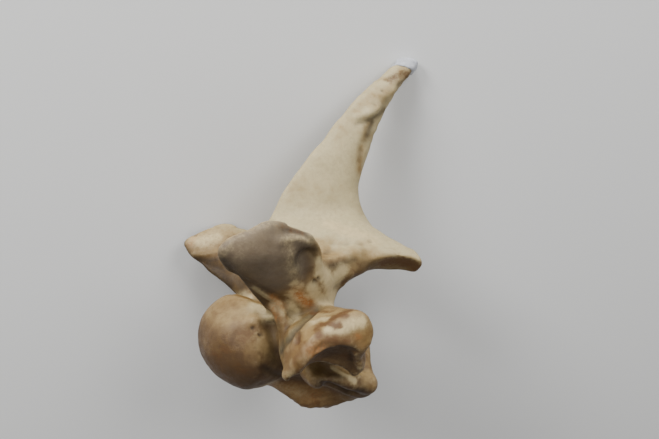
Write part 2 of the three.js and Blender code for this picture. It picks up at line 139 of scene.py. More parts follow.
SPUR_EDGE = [(-16.4, 40.5, -18, 1.7, 1.7), (-14.6, 44.5, -14.8, 2.4, 2.2), (-12.6, 47, -11, 3, 2.6)]
LATERAL_LEDGE = [(-2, 27, 16, 5.5, 4.4), (8, 24.5, 18, 5.5, 3.8), (17, 22.5, 20.6, 5, 3.8)]
FRONT_RIDGE = [
    (-17.5, 28, 5, 2.2, 2.2),
    (-15, 28.5, -1, 2.2, 2.2),
    (-14, 29, -7, 2.2, 2.2),
    (-14.8, 30.5, -12, 2.2, 2.2),
    (-14.5, 35, -16, 2.2, 2),
]
RIB_KNOB_CENTRE = (-0.5, 26, -24.6)
RIB_KNOB_RADII = (3.4, 5, 3.6)
BODY_RIDGE = [(-1, 21, -22, 5, 4), (12, 22, -26.5, 5, 4), (20, 21, -30.5, 5, 4.5)]
LOWER_BAR = [
    (2, 28, -21.8, 2.6, 3.2),
    (8, 29, -24.5, 2.8, 3.4),
    (13, 28.8, -26.8, 3, 3.6),
    (21, 27, -28.8, 4, 4),
]

# Hollows.
CANAL = [
    (-24, 0, 17, 12, 10),
    (-12, 0, 11.5, 13, 11.5),
    (5, 0, 10.5, 13.5, 12),
    (60, 0, 10.5, 15, 13),
]
COTYLE_CENTRE = (37, 0, -21.5)
COTYLE_RADII = (22, 21, 15.5)
FACET_CENTRE = (-25, 36, 28.5)
FACET_NORMAL = (-0.3, -0.55, 0.79)
FACET_RADIUS = 44
FACET_RISE = 45
CAUDAL_FACET_CENTRE = (28, 25.5, 21)
CAUDAL_FACET_NORMAL = (0.05, 0.6, -0.8)
CAUDAL_FACET_RISE = 14
CAUDAL_FACET_RADII = (24, 30, 14)
RIB_FACET_CENTRE = (-1.5, 45.5, -12.6)
RIB_FACET_NORMAL = (0, 0.62, -0.78)
RIB_FACET_RISE = 15
RIB_FACET_RADII = (16.5, 17, 17.5)
FACET_RECESS = [
    (-13, 44, -20.5, 4, 5),
    (-9, 40, -18.8, 4.5, 7),
    (-4.4, 37.5, -19, 4.5, 8),
    (1.6, 36.5, -20.4, 4, 7.5),
    (5.2, 36.5, -22, 3.5, 7),
    (9, 37, -24.8, 3, 6.5),
]
SIDE_GROOVE = [(-14, 31, -21, 4, 4), (4, 31, -18.5, 5, 4), (24, 33, -19, 6, 6)]

# Widths in mm over which forms run into each other.
BLEND = {
    "body": 6,
    "crest": 6,
    "lamina": 3,
    "arch": 5,
    "spine": 7,
    "cranial": 6,
    "cranial_hook": 3,
    "hook_root": 4,
    "cranial_facet": 1.2,
    "caudal": 7,
    "caudal_facet": 1.2,
    "transverse": 4,
    "transverse_lower": 5,
    "spur": 5,
    "spur_edge": 2,
    "rib_facet": 1.2,
    "facet_recess": 0.8,
    "front_ridge": 2.5,
    "lateral_ledge": 3,
    "rib_knob": 4,
    "lower_side": 7,
    "lower_bar": 3,
    "hollows": 3,
}


# ---- rounded forms as signed distances in mm, negative inside ----

def unit(v):
    v = np.asarray(v, float)
    return v / np.linalg.norm(v)


def soft_min(a, b, k):
    h = np.maximum(k - np.abs(a - b), 0.0) / k
    return np.minimum(a, b) - h * h * k * 0.25


def soft_max(a, b, k):
    return -soft_min(-a, -b, k)


def smooth_rows(rows, steps):
    """The rows with Catmull-Rom steps between them, so that sizes change without corners."""
    rows = np.asarray(rows, float)
    padded = np.vstack([2 * rows[0] - rows[1], rows, 2 * rows[-1] - rows[-2]])
    out = []
    for i in range(len(rows) - 1):
        p0, p1, p2, p3 = padded[i:i + 4]
        for t in np.arange(steps) / steps:
            bend = (2 * p0 - 5 * p1 + 4 * p2 - p3) * t * t + (3 * p1 - p0 - 3 * p2 + p3) * t ** 3
            out.append(0.5 * (2 * p1 + (p2 - p0) * t + bend))
    out.append(rows[-1])
    return np.array(out)


def block_distance(u, v, w, a, b, c, n):
    """Near distance to a rounded block; u, v, w are already shares of the half sizes."""
    k = (u ** n + v ** n + w ** n) ** (1 / n) + TINY
    slope = np.sqrt(((u / k) ** (n - 1) / a) ** 2
                    + ((v / k) ** (n - 1) / b) ** 2
                    + ((w / k) ** (n - 1) / c) ** 2)
    return (k - 1) / slope


def limb(q, side, rows, n=2.0, cap=None, steps=3, blend=0.0):
    """A form whose sections stay square to its own course; the first half size points sideways."""
    rows = smooth_rows(rows, steps)
    side = unit(side)
    best = None
    for s0, s1 in zip(rows[:-1], rows[1:]):
        course = s1[:3] - s0[:3]
        t = np.clip(((q - s0[:3]) @ course) / (course @ course), 0, 1)
        a = s0[3] + t * (s1[3] - s0[3])
        b = s0[4] + t * (s1[4] - s0[4])
        along = unit(course)
        sideways = unit(side - (side @ along) * along)
        across = np.cross(along, sideways)
        d = q - (s0[:3] + t[:, None] * course)
        end = np.minimum(a, b) if cap is None else cap
        dist = block_distance(
            np.abs(d @ sideways) / a, np.abs(d @ across) / b, np.abs(d @ along) / end, a, b, end, n)
        if best is None:
            best = dist
        elif blend:
            best = soft_min(best, dist, blend)
        else:
            best = np.minimum(best, dist)
    return best


def loft(q, axis, rows, n=2.0, cap=4.0, taper=0.0, steps=6, slope=0.85, turn=0.0):
    """A form whose sections stay square to an axis; turn rolls them, taper thickens one end."""
    rows = smooth_rows(rows, steps)
    others = [i for i in range(3) if i != axis]
    s = q[:, axis]
    t = np.clip(s, rows[0, 0], rows[-1, 0])
    c1, c2, a, b = (np.interp(t, rows[:, 0], rows[:, k]) for k in (1, 2, 3, 4))
    e1 = q[:, others[0]] - c1
    e2 = q[:, others[1]] - c2
    cos, sin = math.cos(math.radians(turn)), math.sin(math.radians(turn))
    d1 = cos * e1 + sin * e2
    d2 = cos * e2 - sin * e1
    b = b * (1 + taper * np.clip(d1 / a, -1, 1))
    dist = block_distance(np.abs(d1) / a, np.abs(d2) / b, np.abs(s - t) / cap, a, b, cap, n)
    return slope * dist


def ball(q, centre, radii, axes=None):
    d = q - np.asarray(centre, float)
    if axes is not None:
        d = d @ np.array([unit(a) for a in axes]).T
    u = np.abs(d) / np.asarray(radii, float)
    return block_distance(u[:, 0], u[:, 1], u[:, 2], *radii, 2.0)


def from_edges(rows, with_centre):
    """Rows of front and rear edges as rows of centre and half size."""
    out = []
    for z, front, rear, *rest in rows:
        y, half = rest if with_centre else (0.0, rest[0])
        out.append((z, (front + rear) / 2, y, (rear - front) / 2, half))
    return out


def facet(q, place, normal, rise, radii):
    """An ellipsoid whose centre stands off from a joint surface."""
    normal = unit(normal)
    axes = [ALONG_X, np.cross(normal, ALONG_X), normal]
    return ball(q, np.array(place) + normal * rise, radii, axes)


def caudal_process(q):
    d = loft(q, 0, CAUDAL_PROCESS, n=2.3, cap=3, turn=-33, slope=0.9)
    hollow = facet(
        q, CAUDAL_FACET_CENTRE, CAUDAL_FACET_NORMAL, CAUDAL_FACET_RISE, CAUDAL_FACET_RADII)
    return soft_max(d, -hollow, BLEND["caudal_facet"])


def cranial_process(q):
    rows = from_edges(CRANIAL_PROCESS, True)
    plate = loft(q, 2, rows, cap=1.4, turn=-10, n=2.1, steps=3, slope=0.7)
    d = soft_min(plate, limb(q, ALONG_X, CRANIAL_HOOK), BLEND["cranial_hook"])
    d = soft_min(d, limb(q, ALONG_X, HOOK_ROOT), BLEND["hook_root"])
    centre = np.array(FACET_CENTRE) + unit(FACET_NORMAL) * FACET_RISE
    hollow = np.linalg.norm(q - centre, axis=1) - FACET_RADIUS
    return soft_max(d, -hollow, BLEND["cranial_facet"])


def transverse_process(q):
    upper = loft(q, 1, TRANSVERSE_PROCESS, n=2.5, turn=30)
    lower = limb(q, TRANSVERSE_LOWER_SIDE, TRANSVERSE_LOWER, n=2.6, cap=4)
    d = soft_min(upper, lower, BLEND["transverse_lower"])
    d = soft_min(d, limb(q, ALONG_X, TRANSVERSE_SPUR), BLEND["spur"])
    d = soft_min(d, limb(q, ALONG_X, SPUR_EDGE), BLEND["spur_edge"])
    hollow = facet(q, RIB_FACET_CENTRE, RIB_FACET_NORMAL, RIB_FACET_RISE, RIB_FACET_RADII)
    d = soft_max(d, -hollow, BLEND["rib_facet"])
    return soft_max(d, -limb(q, ALONG_Z, FACET_RECESS), BLEND["facet_recess"])


def bone_distance(p):
    q = p.copy()
    q[:, 1] = np.abs(q[:, 1])
    tilt = math.radians(HEAD_TILT)
    cos, sin = math.cos(tilt), math.sin(tilt)
    head_axes = [(cos, 0, sin), ALONG_Y, (-sin, 0, cos)]
    d = ball(q, HEAD_CENTRE, HEAD_RADII, head_axes)
    d = soft_min(d, loft(q, 0, BODY, n=2.4), BLEND["body"])
    d = soft_min(d, loft(q, 0, VENTRAL_CREST, cap=5), BLEND["crest"])
    pedicle = limb(q, ALONG_X, PEDICLE, n=2.6)
    lamina = limb(q, ALONG_X, LAMINA, n=2.4, steps=7, blend=1)
    d = soft_min(d, soft_min(pedicle, lamina, BLEND["lamina"]), BLEND["arch"])
    spine = loft(q, 2, from_edges(SPINE, False), cap=2.2, taper=0.3, steps=3)
    d = soft_min(d, spine, BLEND["spine"])
    far = (p[:, 1] > 0)[:, None] * np.array(FAR_PROCESS_SHIFT)
    d = soft_min(d, cranial_process(q - far), BLEND["cranial"])
    d = soft_min(d, caudal_process(q), BLEND["caudal"])
    d = soft_min(d, transverse_process(q), BLEND["transverse"])
    d = soft_min(d, limb(q, ALONG_X, FRONT_RIDGE), BLEND["front_ridge"])
    d = soft_min(d, limb(q, ALONG_Z, LATERAL_LEDGE, n=3), BLEND["lateral_ledge"])
    ridge = limb(q, ALONG_Z, BODY_RIDGE)
    knob = soft_min(ball(q, RIB_KNOB_CENTRE, RIB_KNOB_RADII), ridge, BLEND["rib_knob"])
    d = soft_min(d, knob, BLEND["lower_side"])
    d = soft_min(d, limb(q, ALONG_Z, LOWER_BAR), BLEND["lower_bar"])
    d = soft_max(d, -limb(q, ALONG_Y, CANAL, n=2.3, cap=8), BLEND["hollows"])
    d = soft_max(d, -ball(q, COTYLE_CENTRE, COTYLE_RADII), BLEND["hollows"])
    return soft_max(d, -limb(q, ALONG_Y, SIDE_GROOVE), BLEND["hollows"])


# ---- meshing: one vertex in every lattice cell that the surface crosses ----

def refine(values):
    """The lattice at half the spacing, with values between the old ones."""
    for axis in range(3):
        a = np.moveaxis(values, axis, 0)
        b = np.empty((2 * a.shape[0] - 1,) + a.shape[1:])
        b[::2] = a
        b[1::2] = (a[:-1] + a[1:]) / 2
        values = np.moveaxis(b, 0, axis)
    return values.copy()


def sample_lattice(form, low, high, fine_step):
    """Distances on the lattice, exact near the surface."""
    step = fine_step * 2 ** COARSE_LEVELS
    counts = np.ceil((np.array(high) - low) / step).astype(int) + 1
    axes = [low[i] + step * np.arange(counts[i]) for i in range(3)]
    places = np.stack(np.meshgrid(*axes, indexing="ij"), -1).reshape(-1, 3)
    values = form(places).reshape(counts)
    for _ in range(COARSE_LEVELS):
        values = refine(values)
        near = np.abs(values) < step * NEAR_SURFACE
        step /= 2
        values[near] = form(low + np.argwhere(near) * step)
    return values


def settle_diagonals(values):
    """A face inside at two opposite corners only would join four sheets in one edge."""
    shape = values.shape
    while True:
        changed = 0
        for a, b in ((0, 1), (1, 2), (0, 2)):
            corners = []
            for da, db in ((0, 0), (1, 0), (1, 1), (0, 1)):
                cut = [slice(None)] * 3
                cut[a] = slice(da, shape[a] - 1 + da)
                cut[b] = slice(db, shape[b] - 1 + db)
                corners.append(values[tuple(cut)])
            inside = [c < 0 for c in corners]
            bad = (inside[0] == inside[2]) & (inside[1] == inside[3]) & (inside[0] != inside[1])
            if not bad.any():
                continue
            changed += int(bad.sum())
            weakest = np.argmin(np.abs(np.stack([c[bad] for c in corners])), axis=0)
            cells = np.argwhere(bad)
            offsets = np.zeros((4, 3), int)
            offsets[1, a] = offsets[2, a] = offsets[2, b] = offsets[3, b] = 1
            at = tuple((cells + offsets[weakest]).T)
            values[at] = np.where(values[at] < 0, JUST_OFF, -JUST_OFF)
        if not changed:
            return values


def surface_points(values, cells):
    """The mean of the places where each cell's edges cross the surface."""
    total = np.zeros((len(cells), 3))
    count = np.zeros(len(cells))
    for corner in np.ndindex(2, 2, 2):
        for axis in range(3):
            if corner[axis]:
                continue
            other = list(corner)
            other[axis] = 1
            va = values[tuple((cells + corner).T)]
            vb = values[tuple((cells + other).T)]
            crossing = (va < 0) != (vb < 0)
            share = np.where(crossing, va / np.where(crossing, va - vb, 1.0), 0.0)
            place = np.tile(np.array(corner, float), (len(cells), 1))
            place[:, axis] += share
            total[crossing] += place[crossing]
            count[crossing] += 1
    return cells + total / count[:, None]


def surface_quads(values, cell_index):
    """One outward quad for every lattice edge that the surface crosses."""
    inside = values < 0
    quads = []
    for axis in range(3):
        low = [slice(None)] * 3
        high = [slice(None)] * 3
        low[axis] = slice(0, -1)
        high[axis] = slice(1, None)
        edges = np.argwhere(inside[tuple(low)] != inside[tuple(high)])
        u = np.zeros(3, int)
        v = np.zeros(3, int)
        u[(axis + 1) % 3] = 1
        v[(axis + 2) % 3] = 1
        ring = [edges, edges - u, edges - u - v, edges - v]
        quad = np.stack([cell_index[tuple(c.T)] for c in ring], 1)
        outward = inside[tuple(edges.T)]
        quad[~outward] = quad[~outward][:, ::-1]
        quads.append(quad)
    return np.concatenate(quads)


def gradient(form, points, reach=0.15):
    """The distance's slope, measured over a small reach in mm."""
    g = np.empty_like(points)
    for axis in range(3):
        step = np.zeros(3)
        step[axis] = reach
        g[:, axis] = (form(points + step) - form(points - step)) / (2 * reach)
    return g


def settle(form, points, reach):
    """The points moved onto the surface, by one step of at most the reach."""
    g = gradient(form, points)
    move = np.clip(form(points) / ((g ** 2).sum(1) + 1e-6), -reach, reach)
    return points - move[:, None] * g


def mesh_form(form, low, high, step):
    """The form's surface as points and outward quads."""
    values = settle_diagonals(sample_lattice(form, low, high, step))
    inside = values < 0
    count = np.zeros(np.array(values.shape) - 1, np.uint8)
    for i, j, k in np.ndindex(2, 2, 2):
        count += inside[i:i + count.shape[0], j:j + count.shape[1], k:k + count.shape[2]]
    crossed = (count > 0) & (count < 8)
    cells = np.argwhere(crossed)
    cell_index = np.full(crossed.shape, -1)
    cell_index[crossed] = np.arange(len(cells))
    points = low + surface_points(values, cells) * step
    quads = surface_quads(values, cell_index)
    for _ in range(SETTLE_STEPS):
        points = settle(form, points, SETTLE_REACH * step)
    return points, quads


# ---- camera, at the angle from which the bone is seen ----

FRAME_WIDTH, FRAME_HEIGHT = 659, 439    # pixels
VIEW_ANGLE = 40                          # degrees, from bottom to top
CAMERA_AZIMUTH = 22                      # degrees from square to the bone's left side
CAMERA_RISE = 0.3                        # degrees above the bone's own level plane
MM_PER_PIXEL = 0.43                      # at the bone's origin
ORIGIN_PIXEL = (296, 306)                # where the bone's origin is in the frame
SENSOR = 36                              # mm
SIGHT_START = 90                         # mm in front of the bone's origin
SIGHT_STEPS = 110
SIGHT_SHARE = 0.6                        # of the distance to the bone, gone in one step
SIGHT_CLOSE = 0.02                       # mm from the bone, which is near enough

focal_pixels = FRAME_HEIGHT / 2 / math.tan(math.radians(VIEW_ANGLE / 2))
azimuth, rise = math.radians(CAMERA_AZIMUTH), math.radians(CAMERA_RISE)
level = math.cos(rise)
to_camera = np.array((-math.sin(azimuth) * level, -math.cos(azimuth) * level, math.sin(rise)))
rightward = np.array((math.cos(azimuth), -math.sin(azimuth), 0.0))
upward = np.cross(to_camera, rightward)
distance = focal_pixels * MM_PER_PIXEL
off_right = (ORIGIN_PIXEL[0] - FRAME_WIDTH / 2) * MM_PER_PIXEL
off_up = (FRAME_HEIGHT / 2 - ORIGIN_PIXEL[1]) * MM_PER_PIXEL
camera_place = distance * to_camera - off_right * rightward - off_up * upward


def on_bone(pixels):
    """Where lines of sight through pixels of the frame meet the bone, or pass closest to it."""
    pixels = np.asarray(pixels, float)
    across = (pixels[:, :1] - FRAME_WIDTH / 2) / focal_pixels
    above = (FRAME_HEIGHT / 2 - pixels[:, 1:]) / focal_pixels
    sight = across * rightward + above * upward - to_camera
    sight /= np.linalg.norm(sight, axis=1)[:, None]
    reach = np.full(len(pixels), distance - SIGHT_START)
    nearest = np.full(len(pixels), np.inf)
    best = reach.copy()
    for _ in range(SIGHT_STEPS):
        gap = bone_distance(camera_place + reach[:, None] * sight)
        closer = gap < nearest
        best[closer] = reach[closer]
        nearest[closer] = gap[closer]
        go_on = np.maximum(SIGHT_SHARE * gap, SIGHT_CLOSE)
        reach = reach + np.where(nearest < SIGHT_CLOSE, 0.0, go_on)
    return camera_place + best[:, None] * sight


# ---- random but repeatable unevenness ----

WAVE_SHARES = (0.7, 1.4)                 # least and greatest length of a wave, to the wavelength


def ripple(points, wavelength, seed, waves=28):
    """A smooth random field of about unit size, made of plane waves."""
    draw = np.random.default_rng(seed)
    directions = draw.normal(size=(waves, 3))
    directions /= np.linalg.norm(directions, axis=1)[:, None]
    lengths = wavelength * draw.uniform(*WAVE_SHARES, waves)
    phases = draw.uniform(0, 2 * math.pi, waves)
    turns = points @ (directions / lengths[:, None]).T * 2 * math.pi
    return np.cos(turns + phases).sum(1) * math.sqrt(2 / waves)


def near_path(points, path, width):
    """1 on the path, falling away over the width."""
    best = np.full(len(points), np.inf)
    path = np.asarray(path, float)
    for a, b in zip(path[:-1], path[1:]):
        course = b - a
        t = np.clip((points - a) @ course / (course @ course), 0, 1)
        best = np.minimum(best, np.linalg.norm(points - a - t[:, None] * course, axis=1))
    return np.exp(-(best / width) ** 2)


def ramp(x, low, high):
    """0 below low, 1 above high, smooth between."""
    t = np.clip((x - low) / (high - low), 0, 1)
    return t * t * (3 - 2 * t)


def vertex_normals(points, quads):
    across = points[quads[:, 2]] - points[quads[:, 0]]
    along = points[quads[:, 3]] - points[quads[:, 1]]
    face = np.cross(across, along)
    total = np.zeros_like(points)
    for corner in range(4):
        np.add.at(total, quads[:, corner], face)
    return total / (np.linalg.norm(total, axis=1)[:, None] + 1e-12)


# ---- small forms, stains, painted shade and painted light, as the camera sees them, and repeated on the other side ----

# Height in mm (below zero cuts), width in mm, and the pixels that the line runs through.
# On the spine: the fold and grooves near its rear edge, and unevenness below the tip.
SPINE_LINES = [
    (-1.0, 1.4, [(360, 122), (368, 120), (375, 118), (380, 114), (384, 109)]),
    (1.0, 2.2, [(360, 117), (370, 113), (380, 106)]),
    (-0.8, 2.2, [(368, 127), (376, 121)]),
    (-0.7, 2.2, [(375, 123), (370, 132), (366, 141), (362, 150)]),
    (-0.6, 1.3, [(376, 105), (381, 103), (387, 101)]),
    (0.5, 1.8, [(386, 97), (392, 90), (396, 85)]),
    (-0.7, 1.5, [(387, 79), (396, 77), (405, 75)]),
]
# On the near cranial process: its rims, the hollow under the hook and the crease below.
CRANIAL_LINES = [
    (0.5, 2.0, [(222, 250), (228, 241), (240, 232), (257, 226), (272, 223), (286, 227)]),
    (-0.55, 1.2, [(284, 231), (292, 232), (300, 234), (306, 238), (312, 242), (317, 246)]),
    (0.9, 2.2, [(281, 242), (288, 239), (296, 238), (304, 240), (311, 244), (318, 248)]),
    (-2.2, 4.0, [(304, 257), (310, 254), (317, 253)]),
    (-0.6, 3.0, [(304, 262), (303, 270), (305, 279)]),
    (-2.4, 4.2, [(315, 257), (318, 264), (318, 272)]),
    (0.5, 1.4, [(322, 249), (323, 255)]),
    (0.4, 2.8, [
        (296, 257), (296, 264), (300, 273), (304, 283), (308, 292), (314, 299), (326, 306)]),
    (-0.5, 1.5, [(224, 262), (236, 275), (249, 283), (264, 290), (275, 297), (286, 304)]),
    (0.5, 1.2, [(254, 287), (265, 295), (272, 299), (281, 304)]),
]
# On the far cranial process: its rim and the hollow below it.
FAR_LINES = [
    (0.6, 1.1, [(193, 254), (205, 255), (217, 253)]),
    (-1.8, 3.0, [(199, 263), (209, 265), (220, 268)]),
]
# On and under the transverse process: its crease, the rib facet's rim, the bar and grooves.
TRANSVERSE_LINES = [
    (-0.8, 1.5, [(316, 312), (307, 320), (300, 327), (290, 339), (283, 349)]),
    (0.5, 1.3, [(319, 314), (310, 322), (303, 329), (294, 340)]),
    (-0.9, 1.2, [(298, 334), (297, 342)]),
    (0.35, 1.5, [(307, 353), (316, 345), (323, 340), (335, 340), (345, 341), (354, 345)]),
    (-0.6, 2.2, [(318, 349), (325, 346), (336, 346), (345, 348)]),
    (1.2, 1.4, [(356, 353), (359, 364), (358, 377)]),
    (0.4, 1.2, [(312, 361), (321, 361), (334, 364), (344, 370), (351, 376)]),
    (-1.2, 1.6, [(322, 383), (334, 387), (346, 392), (352, 392)]),
    (-0.5, 1.4, [(263, 368), (268, 371), (272, 373), (280, 376)]),
]
# On the caudal process: a groove and a ridge along its upper edge, and the notch's rim.
CAUDAL_LINES = [
    (-0.4, 1.6, [(333, 243), (353, 243), (375, 245), (394, 248), (404, 250)]),
    (0.3, 2.0, [(345, 252), (358, 247), (374, 249), (390, 251)]),
    (0.5, 1.2, [(353, 274), (348, 280), (344, 285)]),
]
# Vessel holes: place in pixels, radius and depth in mm.
HOLES = [
    (315, 283, 1.0, 1.6),
    (320, 280, 0.8, 1.0),
    (252, 328, 0.8, 1.0),
    (255, 329, 0.5, 0.6),
    (260, 335, 0.7, 1.0),
    (255, 348, 0.6, 0.3),
    (259, 354, 0.6, 0.3),
    (382, 91, 0.7, 0.6),
    (370, 241, 0.7, 0.6),
    (195, 235, 1.0, 0.7),
]

# Stains, painted shade and painted light, named by colour: strength, width in mm, and the pixels
# that each line runs through.
RUST = [
    (1.0, 1.9, [(298, 293), (301, 298), (305, 301), (309, 303)]),
    (0.6, 2.0, [(273, 308), (276, 316)]),
    (0.35, 6.0, [(272, 386), (290, 393), (312, 398)]),
    (0.35, 2.6, [(296, 290), (302, 296), (308, 303)]),
    (0.6, 1.6, [(271, 297), (277, 303), (284, 307)]),
    (0.5, 1.1, [(358, 336), (359, 337)]),
    (0.5, 2.5, [(313, 352), (320, 350)]),
    (0.4, 1.6, [(195, 236), (190, 244)]),
]
BLOTCH = [
    (1.0, 2.4, [(333, 319), (337, 316), (344, 315)]),
    (0.9, 2.0, [(341, 313), (350, 311)]),
    (0.95, 1.7, [(321, 325), (325, 325)]),
    (0.95, 1.8, [(328, 323), (335, 326), (339, 325)]),
    (0.75, 2.4, [(317, 328), (319, 335)]),
    (0.7, 2.6, [(312, 313), (320, 312), (328, 312)]),
    (0.7, 2.0, [(297, 333), (299, 338), (298, 343)]),
    (0.6, 3.0, [(304, 344), (297, 356), (291, 368)]),
    (0.8, 3.0, [(330, 339), (346, 341)]),
    (0.55, 2.6, [(280, 226), (291, 228), (302, 232)]),
    (0.9, 4.0, [(384, 262), (400, 261), (411, 264), (418, 269)]),
    (0.6, 3.6, [(390, 80), (402, 74), (411, 73)]),
]
OCHRE = [
    (1.0, 6.0, [(200, 264), (212, 270), (224, 278), (234, 290)]),
    (0.8, 5.0, [(240, 296), (250, 298), (264, 299)]),
    (1.0, 3.2, [(313, 309), (304, 317), (296, 325), (289, 334), (284, 342)]),
    (0.45, 1.8, [(276, 314), (280, 328), (282, 342)]),
    (0.5, 3.5, [(356, 322), (364, 330), (366, 340)]),
    (0.5, 3.5, [(306, 331), (301, 346), (294, 360)]),
    (0.7, 2.6, [(322, 366), (334, 370), (344, 376)]),
    (0.4, 2.5, [(340, 250), (352, 252), (366, 251)]),
    (0.8, 2.8, [(301, 306), (306, 311), (312, 314)]),
    (0.6, 2.0, [(364, 140), (367, 128), (372, 122)]),
    (0.75, 2.4, [(360, 170), (360, 160), (363, 148)]),
    (0.5, 2.0, [(388, 92), (384, 100), (378, 106)]),
    (0.4, 5.0, [(222, 303), (232, 300), (243, 299)]),
]
OLIVE = [
    (0.4, 2.0, [(326, 267), (338, 266), (352, 261)]),
    (0.9, 2.6, [(316, 310), (306, 318), (298, 326), (288, 338), (281, 349)]),
    (0.5, 2.6, [(300, 300), (298, 312), (302, 318)]),
    (0.4, 3.0, [(295, 262), (296, 275)]),
]
# Painted shade: dark strokes in creases and folds, under rims, ledges and the bar, and on faces
# turned from the light.
DARK = [
    (0.35, 1.2, [(356, 124), (363, 123), (368, 121)]),
    (0.75, 1.5, [(367, 121), (374, 119), (380, 115), (385, 110)]),
    (0.8, 2.2, [(374, 122), (371, 128), (368, 135)]),
    (0.4, 1.6, [(370, 128), (366, 140)]),
    (0.4, 1.2, [(362, 150), (359, 160)]),
    (0.6, 1.6, [(398, 84), (406, 78), (413, 72)]),
    (0.3, 1.2, [(380, 105), (387, 102)]),
    (0.4, 1.8, [(392, 79), (402, 77), (412, 73)]),
    (0.95, 2.4, [(195, 259), (206, 260), (216, 260)]),
    (1.0, 6.0, [(198, 265), (210, 268), (222, 275), (230, 284)]),
    (1.0, 5.0, [(206, 264), (222, 270)]),
    (0.85, 5.0, [(226, 273), (234, 279), (241, 286)]),
    (0.5, 1.1, [(288, 230), (300, 232), (312, 239)]),
    (0.8, 2.4, [(299, 261), (302, 252), (309, 249), (320, 250)]),
    (0.5, 3.4, [(308, 255), (312, 263), (309, 273)]),
    (0.35, 3.0, [(306, 260), (305, 268), (307, 279)]),
    (0.75, 3.5, [(222, 262), (232, 273), (244, 281)]),
    (0.5, 2.0, [(244, 281), (258, 288), (270, 294)]),
    (0.6, 0.9, [(299, 334), (298, 340)]),
    (0.75, 1.1, [(316, 312), (307, 320), (300, 327), (290, 339), (281, 352)]),
    (0.3, 3.0, [(306, 359), (318, 353), (330, 353)]),
    (0.6, 1.6, [(263, 368), (272, 373), (281, 376)]),
    (0.4, 2.0, [(271, 327), (274, 363)]),
    (0.5, 1.0, [(277, 306), (279, 325), (282, 347)]),
    (0.42, 4.0, [(364, 265), (380, 265), (400, 264), (414, 267)]),
    (0.5, 1.4, [(329, 267), (338, 265), (347, 261), (356, 259)]),
    (0.7, 2.5, [(322, 384), (346, 393), (360, 391)]),
]
# Pale bone, and painted light: bright strips on the bar and under the near process, and lit patches
# on the pedicle and the wall under the lamina.
PALE = [
    (0.4, 1.2, [(222, 248), (228, 239), (240, 230), (254, 225)]),
    (1.0, 1.3, [(254, 288), (265, 296), (272, 300), (281, 305)]),
    (0.7, 5.0, [(194, 238), (204, 241), (215, 236)]),
    (0.32, 4.5, [(288, 246), (292, 258), (294, 270), (297, 282)]),
    (0.9, 3.0, [(289, 305), (294, 312), (295, 321)]),
    (0.9, 2.4, [(323, 262), (322, 270), (320, 277)]),
    (1.0, 3.0, [(311, 287), (315, 294), (322, 300), (329, 304)]),
    (1.0, 4.6, [(324, 270), (329, 280), (330, 290), (331, 299)]),
    (1.0, 4.0, [(342, 271), (338, 277), (335, 286), (333, 296)]),
    (0.6, 2.6, [(294, 283), (300, 286)]),
    (0.8, 3.6, [(294, 293), (304, 299)]),
    (0.8, 3.2, [(330, 330), (342, 329), (350, 324), (362, 322)]),
    (0.6, 2.2, [(314, 323), (320, 320), (327, 319)]),
    (1.0, 1.7, [(334, 369), (344, 375), (354, 381)]),
    (0.5, 1.8, [(291, 362), (293, 370), (289, 376)]),
    (0.5, 4.0, [(268, 384), (282, 389), (300, 394)]),
    (0.5, 1.8, [(284, 240), (294, 237), (304, 238), (314, 243)]),
    (1.0, 4.2, [(258, 307), (265, 310), (271, 315)]),
    (0.9, 2.8, [(274, 307), (282, 310)]),
    (0.5, 1.4, [(359, 366), (358, 378)]),
    (0.7, 5.0, [(330, 225), (350, 232), (372, 238)]),
]


def points_on_bone(lines):
    """Each line's pixels as places on the bone, with y taken positive on both sides."""
    flat = [pixel for line in lines for pixel in line[-1]]
    places = np.split(on_bone(flat), np.cumsum([len(line[-1]) for line in lines])[:-1])
    return [place * (1, np.sign(place[0, 1] + TINY), 1) for place in places]


def drawn(q, lines):
    """For each line, how near every vertex is to it."""
    for line, path in zip(lines, points_on_bone(lines)):
        yield line[0], near_path(q, path, line[1])


def painted(q, lines):
    total = np.zeros(len(q))
    for strength, near in drawn(q, lines):
        total = np.maximum(total, strength * near)
    return total


def smooth_over(values, quads, rounds):
    """The mean with the neighbours, taken several times."""
    edges = np.concatenate([quads[:, [i, (i + 1) % 4]] for i in range(4)])
    edges = np.concatenate([edges, edges[:, ::-1]])
    count = np.bincount(edges[:, 0], minlength=len(values))[:, None]
    flat = values.reshape(len(values), -1)
    for _ in range(rounds):
        sums = np.stack([np.bincount(edges[:, 0], flat[edges[:, 1], k], len(flat))
                         for k in range(flat.shape[1])], 1)
        flat = (flat + sums / count) / 2
    return flat.reshape(values.shape)


# The chalky repair's lower edge slants down towards the tail.
CAP_SLOPE = 0.375
CAP_FLOOR = 125.3
CAP_FADE = (-1, 1)                       # mm across the edge, where the bone gets smooth


def above_cap_edge(p):
    return p[:, 2] + CAP_SLOPE * p[:, 0] - CAP_FLOOR


SMALL_FORMS = SPINE_LINES + CRANIAL_LINES + FAR_LINES + TRANSVERSE_LINES + CAUDAL_LINES
HOLE_LENGTH = 0.5                        # pixels, as a line has to have some length
FULL_DARK = 1.0                          # mm, the depth from which a hole is fully dark

# Rough places for muscle and ligament: ranges in mm over which the roughness sets in.
TIP_ROUGH_ABOVE = (92, 104)
CREST_ROUGH_BELOW = (34, 42)
SIDE_ROUGH_BEYOND = (42, 50)
SIDE_ROUGH_BELOW = (-6, 10)
REAR_EDGE_LEAN = 0.3
REAR_EDGE_ROUGH_BEYOND = (46, 70)
REAR_EDGE_ROUGH_ABOVE = (40, 60)

# Unevenness everywhere: heights and wavelengths in mm.
WAVE_HEIGHT, WAVE_LENGTH = 0.16, 14
DIMPLE_HEIGHT, DIMPLE_LENGTH = 0.025, 5
GRAIN_HEIGHT, GRAIN_LENGTH = 0.012, 3.6
ROUGH_HEIGHT = 0.1                       # more grain in the rough places

